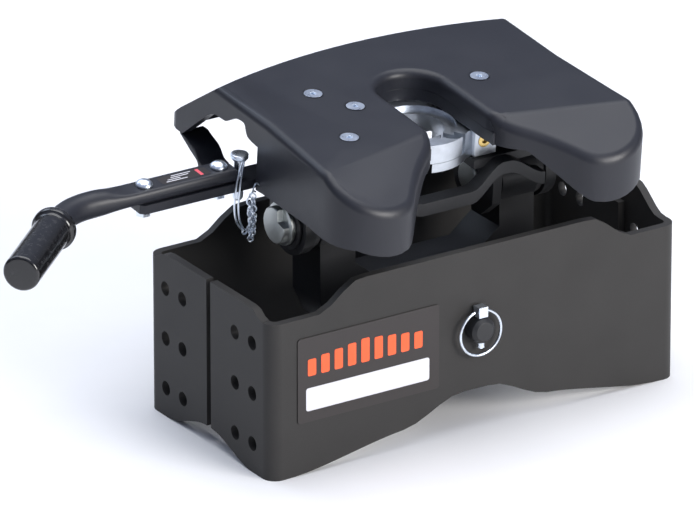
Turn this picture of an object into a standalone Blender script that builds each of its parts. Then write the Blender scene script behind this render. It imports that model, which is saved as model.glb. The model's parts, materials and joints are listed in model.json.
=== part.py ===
"""Fifth wheel hitch with a tilting head, a sliding release bar and two interlocking jaws.

Lengths in this file are millimetres, turned to metres when a mesh is made.
X runs across the vehicle with the release handle at -X, -Y faces the tailgate, +Z is up.
The origin is at the middle of the base, on the plane it stands on.
Head pieces are given in the head's own frame: its zero is on the pitch axis and it leans by HEAD_TILT.
"""
import math

import bmesh
import bpy
from mathutils import Matrix, Vector

MM = 0.001
GAP = 0.3

# base box
BASE_LENGTH = 455.0
BASE_DEPTH = 213.6
PLATE = 8.0
BEND_RADIUS = 13.6
SEAM_HALF = 3.5
WALL_TOP_END = 157.5
WALL_TOP_MIDDLE = 184.0
LEG_HOLE_RADIUS = 14.3 / 2
LEG_HOLE_COLUMNS = (45.8, 75.6)
LEG_HOLE_ROWS = (29.0, 79.8, 130.6)

# roll axis, along Y
ROLL_HEIGHT = 105.0
ROLL_PIN_RADIUS = 12.7
HUB_RADIUS = 30.0
HUB_HALF = 70.0
LINCH_Y = -114.5
LINCH_RADIUS = 3.6
RING_RADIUS = 22.5
RING_WIRE = 1.4

# pitch axis, along X
PITCH_HEIGHT = 205.0
HEAD_TILT = math.radians(5.0)
EYE_RADIUS = 31.0
EYE_INNER = 80.0
EYE_OUTER = 120.0
BOLT_RADIUS = 16.0
INNER_EAR_X = 62.0
OUTER_EAR_X = 128.0
INNER_EAR = 10.0
OUTER_EAR = 12.0

# head plate
HALF_WIDTH = 163.0
TIP_WIDTH = 171.0
TOP = 103.0
TOP_PLATE = 18.0
WALL = 10.0
RAMP_Y = -69.0
RAMP = math.radians(24.0)
RAMP_SKEW = 0.255
SKEW_FROM_X = 40.0
NEAR_Y = -152.5
FAR_EDGE_Y = 117.0
NOSE_Y = 176.0
NOSE_Z = 34.0
FAR_BOW = 21.0
BOW_FROM_Y = 60.0
THROAT_HALF = 33.5
THROAT_BACK = 45.0
LINER_LOW = 72.3
LINER_NEAR = 75.0

# jaws, for a 50.8 mm kingpin
JAW_PIVOT_X = 69.0
JAW_PIVOT_Y = 3.0
JAW_TOP = 70.0
JAW_SPLIT = 51.0
JAW_LOW = 42.0
JAW_BORE = 26.4
JAW_RIM = 49.0
JAW_RECESS = 37.5
JAW_CENTRE_Y = 1.0
JAW_OPEN = math.radians(45.0)
JAW_PIN_RADIUS = 10.0
DRIVE_ARM = 56.0
DRIVE_PIN_RADIUS = 5.0

# release bar and handle
BAR_TRAVEL = 75.0
BAR_Y = 39.0
BAR_HALF = 13.5
BAR_LOW = 29.0
BAR_HIGH = 38.0
BAR_OUT = -285.0
BAR_IN = -77.0
TUBE_RADIUS = 12.7
TUBE_Z = 45.5
TUBE_FLAT_HALF = 6.4
TUBE_IN = -181.0
GRIP_X = -384.5
GRIP_DROP = 23.0
GRIP_LENGTH = 102.0
GRIP_RADIUS = 17.5
LOCK_PIN_X = -172.5
LOCK_PIN_Y = 37.0
LOCK_PIN_RADIUS = 5.0

FINISHES = {
    "black_coat": ((0.055, 0.057, 0.065), 0.45, 0.0),
    "cast_black": ((0.040, 0.042, 0.048), 0.55, 0.0),
    "zinc": ((0.62, 0.66, 0.72), 0.28, 1.0),
    "jaw_steel": ((0.58, 0.60, 0.62), 0.32, 1.0),
    "brass": ((0.62, 0.44, 0.16), 0.30, 1.0),
    "grip_vinyl": ((0.012, 0.012, 0.014), 0.22, 0.0),
    "poly": ((0.10, 0.10, 0.11), 0.50, 0.0),
    "label": ((0.075, 0.062, 0.060), 0.45, 0.0),
}

for leftover in list(bpy.data.objects):
    bpy.data.objects.remove(leftover)

PARTS = bpy.data.collections.new("fifth_wheel_hitch")
CUTTERS = bpy.data.collections.new("cutters")
bpy.context.scene.collection.children.link(PARTS)
bpy.context.scene.collection.children.link(CUTTERS)


# frames, each an empty on a joint's axis

def add_frame(name, parent, place, tilt=0.0):
    """Add an empty at place (mm, in its parent's frame), turned by tilt about X."""
    empty = bpy.data.objects.new(name, None)
    PARTS.objects.link(empty)
    empty.parent = parent
    empty.location = Vector(place) * MM
    empty.rotation_euler = (tilt, 0.0, 0.0)
    return empty


BASE = add_frame("base_frame", None, (0, 0, 0))
ROLL = add_frame("roll_axis", BASE, (0, 0, ROLL_HEIGHT))
HEAD = add_frame("pitch_axis", ROLL, (0, 0, PITCH_HEIGHT - ROLL_HEIGHT), HEAD_TILT)
JAW_L = add_frame("jaw_axis_left", HEAD, (-JAW_PIVOT_X, JAW_PIVOT_Y, 0))
JAW_R = add_frame("jaw_axis_right", HEAD, (JAW_PIVOT_X, JAW_PIVOT_Y, 0))
BAR = add_frame("bar_slide", HEAD, (0, BAR_Y, 0))
LOCK = add_frame("lock_pin_slide", BAR, (LOCK_PIN_X, LOCK_PIN_Y - BAR_Y, 0))
LINCH_TOP = ROLL_HEIGHT + 18.5
RING = add_frame("linch_ring_axis", BASE, (0, LINCH_Y, LINCH_TOP))

# where each frame's zero lies in the numbers that its pieces are given in
ZERO = {
    BASE: Vector((0, 0, 0)),
    ROLL: Vector((0, 0, ROLL_HEIGHT)),
    HEAD: Vector((0, 0, 0)),
    JAW_L: Vector((-JAW_PIVOT_X, JAW_PIVOT_Y, 0)),
    JAW_R: Vector((JAW_PIVOT_X, JAW_PIVOT_Y, 0)),
    BAR: Vector((0, BAR_Y, 0)),
    LOCK: Vector((LOCK_PIN_X, LOCK_PIN_Y, 0)),
    RING: Vector((0, LINCH_Y, LINCH_TOP)),
}


# outlines

def arc(centre, radius, start, end, count):
    """Points on an arc, start and end in degrees."""
    turn = (end - start) / count
    angles = [math.radians(start + turn * i) for i in range(count + 1)]
    return [(centre[0] + radius * math.cos(a), centre[1] + radius * math.sin(a)) for a in angles]


def circle(centre, radius, count=20):
    """A closed circle."""
    return arc(centre, radius, 0.0, 360.0, count)[:-1]


def smooth(points, count=4):
    """A smooth curve through points, with count steps between each two."""
    ends = [points[0]] + list(points) + [points[-1]]
    line = []
    for a, b, c, d in zip(ends, ends[1:], ends[2:], ends[3:]):
        for i in range(count):
            t = i / count
            line.append(tuple(
                0.5 * (2 * q + (r - p) * t + (2 * p - 5 * q + 4 * r - s) * t * t
                       + (3 * q - p - 3 * r + s) * t ** 3)
                for p, q, r, s in zip(a, b, c, d)))
    return line + [tuple(points[-1])]


def ease(value, low, high):
    """Rise from 0 at low to 1 at high, level at both ends."""
    t = min(max((value - low) / (high - low), 0.0), 1.0)
    return t * t * (3.0 - 2.0 * t)


def mirrored(half):
    """Close an outline whose first half runs at +X from its far end to its near end."""
    return half + [(-x, y) for x, y in reversed(half) if abs(x) > 0.001]


def bends(outline):
    """An outline without the points that lie on a straight line between their neighbours."""
    kept = []
    for i, (x, y) in enumerate(outline):
        px, py = outline[i - 1]
        nx, ny = outline[(i + 1) % len(outline)]
        if abs((x - px) * (ny - y) - (y - py) * (nx - x)) > 0.002:
            kept.append((x, y))
    return kept


# meshes

PLANES = {
    "XY": lambda v: (v.x, v.y, v.z),
    "XZ": lambda v: (v.x, v.z, v.y),
    "YZ": lambda v: (v.z, v.x, v.y),
}
AXES = {
    "Z": Matrix.Identity(4),
    "X": Matrix.Rotation(math.radians(90), 4, "Y"),
    "Y": Matrix.Rotation(math.radians(-90), 4, "X"),
}


def clean(mesh, weld=0.002):
    """Join points that coincide and point the faces outwards."""
    body = bmesh.new()
    body.from_mesh(mesh)
    bmesh.ops.remove_doubles(body, verts=body.verts, dist=weld)
    bmesh.ops.recalc_face_normals(body, faces=body.faces)
    body.to_mesh(mesh)
    body.free()
    return mesh


def mesh_of(data, name):
    """The mesh that a curve, or a profile with modifiers, evaluates to."""
    shape = bpy.data.objects.new(name, data)
    bpy.context.scene.collection.objects.link(shape)
    return finished_mesh(shape)


def finished_mesh(shape):
    """Turn an object into its evaluated mesh and remove the object."""
    graph = bpy.context.evaluated_depsgraph_get()
    mesh = bpy.data.meshes.new_from_object(shape.evaluated_get(graph))
    bpy.data.objects.remove(shape)
    return clean(mesh)


def sheet(rings, low, high, plane="XY"):
    """A flat plate: the first ring is its outline and the others are holes."""
    curve = bpy.data.curves.new("outline", "CURVE")
    curve.dimensions = "2D"
    curve.fill_mode = "BOTH"
    curve.extrude = (high - low) / 2
    for ring in map(bends, rings):
        spline = curve.splines.new("POLY")
        spline.points.add(len(ring) - 1)
        for point, (a, b) in zip(spline.points, ring):
            point.co = (a, b, 0.0, 1.0)
        spline.use_cyclic_u = True
    mesh = mesh_of(curve, "outline")
    middle = (high + low) / 2
    place = PLANES[plane]
    for vertex in mesh.vertices:
        vertex.co.z += middle
        vertex.co = place(vertex.co)
    return clean(mesh)


def turned(profile, centre=(0, 0, 0), axis="Z", steps=20):
    """A turned solid: profile is (radius, height) down its outer side, from axis to axis or round."""
    mesh = bpy.data.meshes.new("profile")
    closed = profile[0][0] > 0.0
    edges = [(i, i + 1) for i in range(len(profile) - 1)]
    if closed:
        edges.append((len(profile) - 1, 0))
    mesh.from_pydata([(r, 0.0, h) for r, h in profile], edges, [])
    shape = bpy.data.objects.new("profile", mesh)
    bpy.context.scene.collection.objects.link(shape)
    screw = shape.modifiers.new("turn", "SCREW")
    screw.steps = steps
    screw.render_steps = steps
    screw.use_merge_vertices = True
    screw.merge_threshold = 0.0001
    solid = finished_mesh(shape)
    solid.transform(Matrix.Translation(centre) @ AXES[axis])
    return solid


def rod(radius, low, high, centre=(0, 0, 0), axis="Z", steps=20, chamfer=0.0):
    """A solid round bar from low to high along its axis, measured from centre."""
    if chamfer:
        profile = [(0, high), (radius - chamfer, high), (radius, high - chamfer),
                   (radius, low + chamfer), (radius - chamfer, low), (0, low)]
    else:
        profile = [(0, high), (radius, high), (radius, low), (0, low)]
    return turned(profile, centre, axis, steps)


def ring(outer, inner, low, high, centre=(0, 0, 0), axis="Z", steps=20):
    """A plain bush or washer."""
    profile = [(outer, high), (outer, low), (inner, low), (inner, high)]
    return turned(profile, centre, axis, steps)


def wire(points, radius, closed=False, resolution=2):
    """A round wire or tube along points."""
    curve = bpy.data.curves.new("wire", "CURVE")
    curve.dimensions = "3D"
    curve.bevel_depth = radius
    curve.bevel_resolution = resolution
    curve.use_fill_caps = not closed
    spline = curve.splines.new("POLY")
    spline.points.add(len(points) - 1)
    for point, place in zip(spline.points, points):
        point.co = (*place, 1.0)
    spline.use_cyclic_u = closed
    return mesh_of(curve, "wire")


def block(low, high):
    """A box between two corners."""
    body = bmesh.new()
    bmesh.ops.create_cube(body, size=1.0)
    for vertex in body.verts:
        vertex.co = [a + (b - a) * (c + 0.5) for a, b, c in zip(low, high, vertex.co)]
    mesh = bpy.data.meshes.new("block")
    body.to_mesh(mesh)
    body.free()
    return mesh


# objects

MATERIALS = {}


def material(finish):
    """The Principled material of a finish, made once."""
    if finish not in MATERIALS:
        colour, roughness, metallic = FINISHES[finish]
        made = bpy.data.materials.new(finish)
        made.use_nodes = True
        shader = made.node_tree.nodes["Principled BSDF"]
        shader.inputs["Base Color"].default_value = (*colour, 1.0)
        shader.inputs["Roughness"].default_value = roughness
        shader.inputs["Metallic"].default_value = metallic
        MATERIALS[finish] = made
    return MATERIALS[finish]


def seat(name, mesh, frame, collection):
    """Put a mesh given in millimetres into the scene, under its frame."""
    mesh.transform(Matrix.Translation(-ZERO[frame]))
    mesh.transform(Matrix.Scale(MM, 4))
    mesh.name = name
    shape = bpy.data.objects.new(name, mesh)
    collection.objects.link(shape)
    shape.parent = frame
    return shape


def part(name, mesh, finish, frame):
    """Add one sub-part."""
    shape = seat(name, mesh, frame, PARTS)
    mesh.materials.clear()
    mesh.materials.append(material(finish).copy())
    mesh.materials[0].name = name
    mesh.shade_smooth()
    mesh.set_sharp_from_angle(angle=math.radians(35))
    return shape


def cutter(mesh, frame):
    """Add a hidden shape that cuts or joins a part."""
    shape = seat("cutter", mesh, frame, CUTTERS)
    shape.hide_render = True
    shape.display_type = "WIRE"
    return shape


def combine(target, mesh, frame, operation="DIFFERENCE"):
    """Cut a mesh out of a part, join it on, or keep only what both hold."""
    step = target.modifiers.new(operation.lower(), "BOOLEAN")
    step.operation = operation
    step.solver = "EXACT"
    step.object = cutter(mesh, frame)


def cut(target, mesh, frame):
    """Cut a mesh out of a part."""
    combine(target, mesh, frame)


def join(target, mesh, frame):
    """Join a mesh onto a part."""
    combine(target, mesh, frame, "UNION")


# base

def wall_top(x):
    """Height of the long walls' top edge."""
    return WALL_TOP_MIDDLE - (WALL_TOP_MIDDLE - WALL_TOP_END) * ease(abs(x), 128, 176)


def wall_foot(x):
    """Height of the long walls' bottom edge."""
    return 20.0 * (1 - ease(abs(x), 60, 215)) + 22.0 * (1 - ease(abs(x), 16, 80))


def base_shell(name, side):
    """Half of the box: a long wall whose ends are bent round towards the seam."""
    x = BASE_LENGTH / 2
    y = BASE_DEPTH / 2
    bend = BEND_RADIUS
    inner = bend - PLATE
    outer_line = [(-x, -SEAM_HALF)] + arc((-x + bend, -y + bend), bend, 180, 270, 6)
    outer_line += arc((x - bend, -y + bend), bend, 270, 360, 6) + [(x, -SEAM_HALF)]
    inner_line = [(x - PLATE, -SEAM_HALF)] + arc((x - bend, -y + bend), inner, 360, 270, 6)
    inner_line += arc((-x + bend, -y + bend), inner, 270, 180, 6) + [(-x + PLATE, -SEAM_HALF)]
    plan = [(px, -py * side) for px, py in outer_line + inner_line]
    shell = part(name, sheet([plan], 0, 190), "black_coat", BASE)
    reach = x - bend
    steps = [reach * (i / 16 - 1) for i in range(33)]
    over = [(-x - 5, WALL_TOP_END)] + [(px, wall_top(px)) for px in steps] + [(x + 5, WALL_TOP_END)]
    over += [(x + 5, 200), (-x - 5, 200)]
    under = [(px, wall_foot(px) - 0.05) for px in steps] + [(reach, -10), (-reach, -10)]
    near, far = sorted((side * (y + 5), side * (y - bend)))
    cut(shell, sheet([over], near, far, "XZ"), BASE)
    cut(shell, sheet([under], near, far, "XZ"), BASE)
    half_end = y - bend + 1
    spread = [half_end * (i / 12 - 1) for i in range(25)]
    low = WALL_TOP_END + 0.05
    for end, high, rise_from, rise_to in ((-1, 166.0, 92, 74), (1, 180.0, 84, 42)):
        tops = [(py, low + (high - low) * (1 - ease(abs(py), rise_to, rise_from))) for py in spread]
        feet = [(py * 0.8, 17.8 * (1 - ease(abs(py) * 0.8, 4, 75)) - 0.1) for py in spread]
        edge_low, edge_high = sorted((end * (reach + 0.4), end * (x + 5)))
        box = [(half_end, 200), (-half_end, 200)]
        cut(shell, sheet([tops + box], edge_low, edge_high, "YZ"), BASE)
        box = [(half_end * 0.8, -10), (-half_end * 0.8, -10)]
        cut(shell, sheet([feet + box], edge_low, edge_high, "YZ"), BASE)
        for column in LEG_HOLE_COLUMNS:
            for row in LEG_HOLE_ROWS:
                hole = rod(LEG_HOLE_RADIUS, -14, 14, (end * (x - 4), side * column, row), "X", 16)
                cut(shell, hole, BASE)
    cut(shell, rod(ROLL_PIN_RADIUS + GAP, -20, 20, (0, side * y, ROLL_HEIGHT), "Y"), BASE)


def seam_plate(name, end):
    """The strip behind a seam that the two halves are welded to."""
    edge = end * (BASE_LENGTH / 2 - PLATE - GAP)
    low, high = sorted((edge, edge - end * 7))
    part(name, sheet([[(-30, 20), (30, 20), (30, 155), (-30, 155)]], low, high, "YZ"), "black_coat", BASE)


def build_base():
    """The welded box, its pivot bosses, the roll pin and what holds it."""
    base_shell("base_shell_near", -1)
    base_shell("base_shell_far", 1)
    seam_plate("seam_plate_left", -1)
    seam_plate("seam_plate_right", 1)
    wall = BASE_DEPTH / 2 - PLATE - GAP
    centre = (0, 0, ROLL_HEIGHT)
    hole = ROLL_PIN_RADIUS + GAP
    part("pin_boss_near", ring(26, hole, -wall, -HUB_HALF - 3.6, centre, "Y"), "black_coat", BASE)
    part("pin_boss_far", ring(26, hole, HUB_HALF + 3.6, wall, centre, "Y"), "black_coat", BASE)
    face = BASE_DEPTH / 2
    profile = [(0, face + 8), (17, face + 8), (18, face + 7), (18, face + GAP),
               (ROLL_PIN_RADIUS, face + GAP), (ROLL_PIN_RADIUS, -face - 12),
               (ROLL_PIN_RADIUS - 3.5, -face - 15.5), (0, -face - 15.5)]
    pin = part("roll_pin", turned(profile, centre, "Y"), "cast_black", BASE)
    cut(pin, rod(LINCH_RADIUS + GAP, -20, 20, (0, LINCH_Y, ROLL_HEIGHT), "Z", 16), BASE)
    low = ROLL_HEIGHT - ROLL_PIN_RADIUS
    high = ROLL_HEIGHT + ROLL_PIN_RADIUS
    linch = part("linch_pin", block((-5, LINCH_Y - 5, high + 0.6), (5, LINCH_Y + 5, high + 11)), "zinc", BASE)
    join(linch, rod(LINCH_RADIUS, low - 6, high + 4, (0, LINCH_Y, 0), "Z", 16, 1.0), BASE)
    centre_z = LINCH_TOP - RING_RADIUS + 0.6
    start = 90 + math.degrees(math.asin(6.6 / RING_RADIUS))
    loop = arc((0, centre_z), RING_RADIUS, start, 540 - start, 36)
    part("linch_ring", wire([(x, LINCH_Y, z) for x, z in loop], RING_WIRE), "zinc", RING)
    near = -BASE_DEPTH / 2 - GAP
    corners = []
    for x, z, turn in ((-45, 135, 0), (-195, 135, 90), (-195, 56, 180), (-45, 56, 270)):
        corners += arc((x, z), 3, turn, turn + 90, 3)
    part("label_plate", sheet([corners], near - 0.8, near, "XZ"), "label", BASE)


# yoke

def build_yoke():
    """The cradle that rolls on the long pin and carries the head's pitch bolts."""
    z = ROLL_HEIGHT
    inner = EYE_INNER + 0.5
    outer = EYE_OUTER - 0.5
    right = [(outer, PITCH_HEIGHT + 2), (outer, z + 22), (outer - 12, z - 4), (70, z - 26)]
    left = [(-x, y) for x, y in reversed(right)]
    floor = [(-inner, PITCH_HEIGHT + 2), (-inner, z + 54), (-56, z + 34), (56, z + 34),
             (inner, z + 54), (inner, PITCH_HEIGHT + 2)]
    yoke = part("yoke", sheet([right + left + floor], -24, 24, "XZ"), "cast_black", ROLL)
    join(yoke, rod(HUB_RADIUS, -HUB_HALF, HUB_HALF, (0, 0, z), "Y"), ROLL)
    for low, high in ((-EYE_OUTER, -EYE_INNER), (EYE_INNER, EYE_OUTER)):
        join(yoke, rod(EYE_RADIUS, low, high, (0, 0, PITCH_HEIGHT), "X"), ROLL)
    cut(yoke, rod(18, -HUB_HALF - 5, HUB_HALF + 5, (0, 0, z), "Y"), ROLL)
    cut(yoke, rod(23, -EYE_OUTER - 5, EYE_OUTER + 5, (0, 0, PITCH_HEIGHT), "X"), ROLL)
    hole = ROLL_PIN_RADIUS + GAP
    for name, side in (("near", -1), ("far", 1)):
        low, high = sorted((side * 8, side * HUB_HALF))
        part("roll_bushing_" + name, ring(17.7, hole, low, high, (0, 0, z), "Y"), "poly", ROLL)
        low, high = sorted((side * (HUB_HALF + GAP), side * (HUB_HALF + 3.3)))
        part("roll_washer_" + name, ring(27, hole, low, high, (0, 0, z), "Y"), "zinc", ROLL)
    for name, side in (("left", -1), ("right", 1)):
        low, high = sorted((side * EYE_INNER, side * EYE_OUTER))
        bush = ring(22.7, BOLT_RADIUS + GAP, low, high, (0, 0, PITCH_HEIGHT), "X")
        part("pitch_bushing_" + name, bush, "poly", ROLL)


# head

def bow(x):
    """How far the head plate's front edge falls back at x."""
    return FAR_BOW * (x / 154.0) ** 2


def bowed(mesh):
    """Bend the front edge of a straight profile back towards its ends, and turn the ramps' folds outwards."""
    body = bmesh.new()
    body.from_mesh(mesh)
    for i in range(-7, 8):
        whole = body.verts[:] + body.edges[:] + body.faces[:]
        bmesh.ops.bisect_plane(body, geom=whole, plane_co=(i * 20.0, 0, 0), plane_no=(1, 0, 0))
    for vertex in body.verts:
        reach = ease(vertex.co.y, BOW_FROM_Y, 97.0) - ease(vertex.co.y, FAR_EDGE_Y + 8, NOSE_Y - 20)
        near = ease(-vertex.co.y, 40.0, -RAMP_Y)
        vertex.co.y -= bow(vertex.co.x) * reach + max(0.0, abs(vertex.co.x) - SKEW_FROM_X) * RAMP_SKEW * near
    body.to_mesh(mesh)
    body.free()
    return clean(mesh)


def throat_side(grow=0.0):
    """The right side of the throat, from its back to the tip, moved out by grow."""
    half = THROAT_HALF + grow
    centre_y = THROAT_BACK - THROAT_HALF
    back = [(x, y) for x, y in arc((0, centre_y), half, 90, 0, 8)]
    flare = smooth([(half, -62), (half + 3, -75), (half + 9, -86), (half + 18, -95)], 2)
    return back + flare


def head_outline():
    """The head plate from above: a straight front edge with round corners, two tips and the throat."""
    front = [(0, NOSE_Y - 0.5)]
    corner = smooth([(HALF_WIDTH - 14, NOSE_Y - 0.5), (HALF_WIDTH - 4, NOSE_Y - 4),
                     (HALF_WIDTH, NOSE_Y - 14)], 3)
    side = [(HALF_WIDTH, 10)]
    tip = smooth([(TIP_WIDTH - 2, -78), (TIP_WIDTH, -106), (TIP_WIDTH - 3, -124), (159, -139), (145, -148.5),
                  (128, NEAR_Y), (111, -150.5), (98, -144), (87, -131), (75, -117), (62, -104)], 2)
    half = front + corner + side + tip + throat_side()[::-1]
    return mirrored(half)


def head_profile(inset):
    """The head plate from the side, as one closed outline; inset makes the hollow under it."""
    fall = math.tan(RAMP)
    top = TOP - (TOP_PLATE if inset else 0.0)
    ramp_y = RAMP_Y + (2 if inset else 0)
    slope_y = FAR_EDGE_Y - (5 if inset else 0)
    nose_y = NOSE_Y - (WALL + 2 if inset else 0)
    ramp_end = NEAR_Y - 8
    over = [(ramp_end, top - (ramp_y - ramp_end) * fall), (ramp_y, top), (BOW_FROM_Y, top), (97, top),
            (slope_y, top), (nose_y, NOSE_Z + (6 if inset else 4))]
    if inset:
        return over + [(nose_y, -40), (97, -40), (BOW_FROM_Y, -40), (ramp_end, -40)]
    under = [(nose_y, NOSE_Z - 4), (97, NOSE_Z - 4), (BOW_FROM_Y, NOSE_Z - 4), (20, 29), (-56, 37),
             (-112, 38),
             (-139, 27), (ramp_end, 26)]
    return over + under


def window_outline():
    """The wavy opening in the handle side of the head plate."""
    wave = smooth([(22, 73), (38, 75), (43, 80), (47, 87), (61, 85.5), (73, 78), (80, 75), (96, 74),
                   (109, 68)], 3)
    return wave + [(151, 30), (151, 0), (22, 0)]


def build_skid_plate():
    """The formed bearing plate: flat top, sloped tips, side skirts and front apron."""
    outside = bowed(sheet([head_profile(False)], -TIP_WIDTH - 1, TIP_WIDTH + 1, "YZ"))
    plate = part("skid_plate", outside, "black_coat", HEAD)
    combine(plate, sheet([head_outline()], 0, TOP + 10), HEAD, "INTERSECT")
    hollow = bowed(sheet([head_profile(True)], -HALF_WIDTH + WALL, HALF_WIDTH - WALL, "YZ"))
    walls = smooth([(151.5, -105), (150, -120), (144, -131), (135, -138), (124, -141.5), (114, -140),
                    (106, -135), (95, -122.5), (83, -108.5), (70, -96.5), (58, -88), (48, -80)], 2)
    room = [(0, 200), (HALF_WIDTH, 200)] + walls + [(30, -70), (0, -70)]
    inner = seat("hollow", hollow, HEAD, CUTTERS)
    inner.hide_render = True
    inner.display_type = "WIRE"
    combine(inner, sheet([mirrored(room)], -60, TOP + 10), HEAD, "INTERSECT")
    step = plate.modifiers.new("hollow", "BOOLEAN")
    step.solver = "EXACT"
    step.object = inner
    step_y = -LINER_NEAR - 0.4
    lip = [(-60, 0), (-60, TOP - TOP_PLATE), (step_y, TOP - TOP_PLATE), (step_y, 73), (-99, 73), (-116, 56),
           (-133, 41), (-147, 31), (-170, 25.5), (-170, 0)]
    cut(plate, sheet([lip], -112, 112, "YZ"), HEAD)
    cut(plate, sheet([window_outline()], -HALF_WIDTH - 3, -HALF_WIDTH + WALL + 6, "YZ"), HEAD)
    return plate


def strap_top(x):
    """Height of the carrier's front strap: a trough for the kingpin between two saddles."""
    x = abs(x)
    return 17.5 + 23.5 * ease(x, 28, 61) - 21.0 * ease(x, 68, 110)


def build_carrier():
    """The plate that carries the jaws, with its front strap, and the four ears on the pitch axis."""
    half = [(37, -43), (105, -43), (105, 22), (60, 22), (52, 12), (37, 4)]
    strap_x = [5.46 * i - 109.2 for i in range(41)]
    strap = [(x, strap_top(x)) for x in strap_x] + [(x, strap_top(x) - 13) for x in reversed(strap_x)]
    carrier = part("jaw_carrier", sheet([strap], -57, -41, "XZ"), "cast_black", HEAD)
    for side in (-1, 1):
        lobe = [(side * x, y) for x, y in half]
        join(carrier, sheet([lobe], 32.6, JAW_LOW - GAP), HEAD)
        cut(carrier, rod(JAW_PIN_RADIUS + GAP, 0, 60, (side * JAW_PIVOT_X, JAW_PIVOT_Y, 0)), HEAD)
    inner_ear = [(-57, 18), (-57, -8), (-22, -30)] + arc((0, 0), 27, 240, 360, 10)
    inner_ear += [(27, 20), (20, 32.2), (-40.6, 32.2), (-40.6, 18)]
    inner_ear[0] = (-40.6, 2)
    inner_ear[1] = (-40.6, -12)
    outer_ear = arc((0, 0), 32, 150, 360, 16) + [(31, 12), (20, 34), (20, TOP - TOP_PLATE - GAP),
                                                 (-44, TOP - TOP_PLATE - GAP), (-44, 50), (-32, 20)]
    bolt = circle((0, 0), BOLT_RADIUS + GAP)
    for name, side in (("left", -1), ("right", 1)):
        low, high = sorted((side * INNER_EAR_X, side * (INNER_EAR_X + INNER_EAR)))
        part("inner_ear_" + name, sheet([inner_ear, bolt], low, high, "YZ"), "cast_black", HEAD)
        low, high = sorted((side * OUTER_EAR_X, side * (OUTER_EAR_X + OUTER_EAR)))
        part("outer_ear_" + name, sheet([outer_ear, bolt], low, high, "YZ"), "cast_black", HEAD)


def build_pitch_bolts():
    """The two pitch bolts, each with a keyed head, its collar and the washers beside the yoke's eye."""
    for name, side in (("left", -1), ("right", 1)):
        start = OUTER_EAR_X + OUTER_EAR + GAP
        profile = [(0, start + 15.5), (17, start + 15.5), (18, start + 14.5), (18, start + 9),
                   (21, start + 8.2), (21, start + 3.6 + GAP), (BOLT_RADIUS, start + 3.6 + GAP),
                   (BOLT_RADIUS, INNER_EAR_X - 1), (BOLT_RADIUS - 2, INNER_EAR_X - 3), (0, INNER_EAR_X - 3)]
        shaft = turned(profile, (0, 0, 0), "X")
        if side < 0:
            shaft.transform(Matrix.Scale(-1, 4, (1, 0, 0)))
            clean(shaft)
        bolt = part("pitch_bolt_" + name, shaft, "zinc", HEAD)
        low, high = sorted((side * (start + 9.2), side * (start + 20)))
        notch = [(-30, 30), (-2, 30), (-7, 6), (-30, 1)]
        cut(bolt, sheet([notch], low, high, "YZ"), HEAD)
        hole = BOLT_RADIUS + GAP
        low, high = sorted((side * start, side * (start + 3.6)))
        part("pitch_collar_" + name, ring(26, hole, low, high, (0, 0, 0), "X"), "cast_black", HEAD)
        low, high = sorted((side * (EYE_OUTER + GAP), side * (OUTER_EAR_X - GAP)))
        part("outer_washer_" + name, ring(29, hole, low, high, (0, 0, 0), "X"), "poly", HEAD)
        low, high = sorted((side * (INNER_EAR_X + INNER_EAR + GAP), side * (EYE_INNER - GAP)))
        part("inner_washer_" + name, ring(26, hole, low, high, (0, 0, 0), "X"), "poly", HEAD)


def countersunk(x, y, end):
    """A countersunk screw with a star drive, its head flush with the head plate."""
    profile = [(0, TOP), (9.0, TOP), (4.0, TOP - 5), (4.0, end), (0, end)]
    screw = turned(profile, (x, y, 0), "Z", 20)
    return screw


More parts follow.
